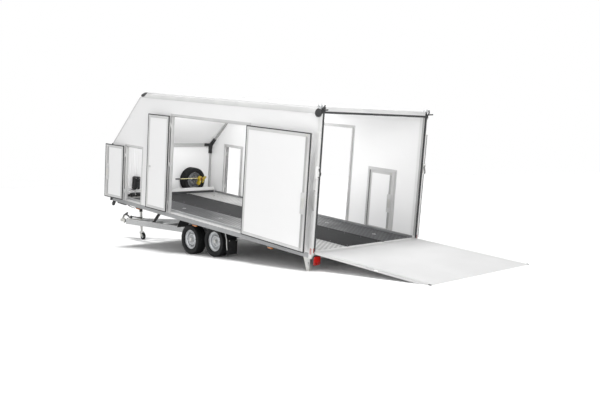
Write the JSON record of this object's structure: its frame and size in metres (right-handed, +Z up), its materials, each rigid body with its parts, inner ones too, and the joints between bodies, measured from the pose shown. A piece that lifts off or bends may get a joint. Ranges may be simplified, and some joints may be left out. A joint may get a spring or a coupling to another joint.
{
  "type": "enclosed car trailer",
  "caption": "Enclosed car trailer with side wings, front hatches and a rear ramp, its box tipped back for loading.",
  "frame": {"origin": "centre of the bounding box's base, on the ground", "axes": "+X forwards to the coupling, +Y to the trailer's left, +Z up"},
  "size_m": [9.4697, 2.6676, 2.9418],
  "materials": {
    "white_panel": "white gelcoat skin of a sandwich panel",
    "aluminium_profile": "clear anodised extrusion",
    "aluminium_plank": "mill-finish perforated plank",
    "dark_floor": "phenolic-faced plywood, fine wire-mesh print",
    "galvanised": "hot-dip galvanised",
    "zinc_plate": "zinc plated",
    "black_plastic": "grained moulded plastic",
    "tyre": "rubber",
    "rim": "silver paint",
    "chrome_rod": "hard chromed",
    "black_paint": "satin black paint",
    "lamp": "clear moulded lens",
    "amber_lamp": "clear moulded lens",
    "yellow_paint": "yellow paint"
  },
  "bodies": {
    "chassis": {"chassis_beams": "galvanised", "chassis_cross_members": "galvanised", "front_axle": "galvanised", "rear_axle": "galvanised", "overrun_device": "zinc_plate", "handbrake_lever": "black_paint", "coupling_head": "zinc_plate", "jockey_tube": "zinc_plate"},
    "box": {"side_rails": "aluminium_profile", "underframe": "aluminium_profile", "centre_floor": "dark_floor", "floor_tracks": "aluminium_plank", "left_wall": "white_panel", "right_wall": "white_panel", "front_wall": "white_panel", "slant_panel": "white_panel", "roof_panel": "white_panel", "roof_rails": "aluminium_profile", "edge_rails": "aluminium_profile", "rear_frame": "aluminium_profile", "corner_caps": "black_plastic", "door_frames": "aluminium_profile", "rear_hatch_frames": "aluminium_profile", "rear_hatch_panels": "white_panel", "inner_profiles": "aluminium_profile", "kick_board": "aluminium_profile", "spare_tyre": "tyre", "spare_rim": "rim", "cable_puller": "yellow_paint", "hydraulic_unit": "black_paint", "rear_feet": "aluminium_profile", "tail_lights": "lamp", "marker_lamps": "amber_lamp", "mudguards": "black_plastic"},
    "ramp": {"ramp_frame": "aluminium_profile", "ramp_panel": "white_panel"},
    "left_rear_wing": {"left_rear_wing_frame": "aluminium_profile", "left_rear_wing_panel": "white_panel"},
    "left_front_wing": {"left_front_wing_frame": "aluminium_profile", "left_front_wing_panel": "white_panel"},
    "left_front_hatch": {"left_front_hatch_frame": "aluminium_profile", "left_front_hatch_panel": "white_panel"},
    "right_rear_wing": {"right_rear_wing_frame": "aluminium_profile", "right_rear_wing_panel": "white_panel"},
    "right_front_wing": {"right_front_wing_frame": "aluminium_profile", "right_front_wing_panel": "white_panel"},
    "right_front_hatch": {"right_front_hatch_frame": "aluminium_profile", "right_front_hatch_panel": "white_panel"},
    "front_left_wheel": {"front_left_tyre": "tyre", "front_left_rim": "rim"},
    "front_right_wheel": {"front_right_tyre": "tyre", "front_right_rim": "rim"},
    "rear_left_wheel": {"rear_left_tyre": "tyre", "rear_left_rim": "rim"},
    "rear_right_wheel": {"rear_right_tyre": "tyre", "rear_right_rim": "rim"},
    "jockey_fork": {"jockey_fork": "zinc_plate"},
    "jockey_wheel": {"jockey_wheel": "tyre"},
    "cylinder_barrel": {"cylinder_barrel": "black_paint"},
    "cylinder_rod": {"cylinder_rod": "chrome_rod"}
  },
  "joints": [
    {"name": "box_tilt", "type": "hinge", "parent": "chassis", "child": "box", "pos_m": [0.28451, 0, 0.55389], "axis": [0, 1, 0], "range_deg": [0, 7.61]},
    {"name": "cylinder_turn", "type": "hinge", "parent": "chassis", "child": "cylinder_barrel", "pos_m": [3.41488, 0, 0.372], "axis": [0, 1, 0], "range_deg": [-24, 1]},
    {"name": "cylinder_stroke", "type": "slide", "parent": "cylinder_barrel", "child": "cylinder_rod", "axis": [-0.7771, 0, 0.6294], "range_m": [-0.18, 0.002]},
    {"name": "ramp_hinge", "type": "hinge", "parent": "box", "child": "ramp", "pos_m": [-2.71048, 0, 0.25645], "axis": [0, 1, 0], "range_deg": [0, 90]},
    {"name": "left_rear_wing_hinge", "type": "hinge", "parent": "box", "child": "left_rear_wing", "pos_m": [-1.25083, 1.215, 1.33737], "axis": [0.1325, 0, -0.9912], "range_deg": [0, 177.6]},
    {"name": "left_front_wing_hinge", "type": "hinge", "parent": "box", "child": "left_front_wing", "pos_m": [0.86633, 1.215, 1.62038], "axis": [-0.1325, 0, 0.9912], "range_deg": [0, 177.6]},
    {"name": "left_front_hatch_hinge", "type": "hinge", "parent": "box", "child": "left_front_hatch", "pos_m": [2.40443, 1.215, 1.48801], "axis": [-0.1325, 0, 0.9912], "range_deg": [0, 173]},
    {"name": "right_rear_wing_hinge", "type": "hinge", "parent": "box", "child": "right_rear_wing", "pos_m": [-1.25083, -1.215, 1.33737], "axis": [-0.1325, 0, 0.9912], "range_deg": [0, 177.6]},
    {"name": "right_front_wing_hinge", "type": "hinge", "parent": "box", "child": "right_front_wing", "pos_m": [0.86633, -1.215, 1.62038], "axis": [0.1325, 0, -0.9912], "range_deg": [0, 177.6]},
    {"name": "right_front_hatch_hinge", "type": "hinge", "parent": "box", "child": "right_front_hatch", "pos_m": [2.40443, -1.215, 1.48801], "axis": [0.1325, 0, -0.9912], "range_deg": [0, 173]},
    {"name": "front_left_wheel_axle", "type": "hinge", "parent": "chassis", "child": "front_left_wheel", "pos_m": [0.64488, 0.9055, 0.2625], "axis": [0, 1, 0], "continuous": true},
    {"name": "front_right_wheel_axle", "type": "hinge", "parent": "chassis", "child": "front_right_wheel", "pos_m": [0.64488, -0.9055, 0.2625], "axis": [0, 1, 0], "continuous": true},
    {"name": "rear_left_wheel_axle", "type": "hinge", "parent": "chassis", "child": "rear_left_wheel", "pos_m": [-0.05812, 0.9055, 0.2625], "axis": [0, 1, 0], "continuous": true},
    {"name": "rear_right_wheel_axle", "type": "hinge", "parent": "chassis", "child": "rear_right_wheel", "pos_m": [-0.05812, -0.9055, 0.2625], "axis": [0, 1, 0], "continuous": true},
    {"name": "jockey_swivel", "type": "hinge", "parent": "chassis", "child": "jockey_fork", "pos_m": [3.88488, 0, 0.4], "axis": [0, 0, 1], "continuous": true},
    {"name": "jockey_wheel_axle", "type": "hinge", "parent": "jockey_fork", "child": "jockey_wheel", "pos_m": [3.83488, 0, 0.08], "axis": [0, 1, 0], "continuous": true}
  ],
  "couplings": [
    {"joint": "cylinder_turn", "follows": "box_tilt", "ratio": -3.005},
    {"joint": "cylinder_stroke", "follows": "box_tilt", "m_per_rad": -1.3333}
  ]
}
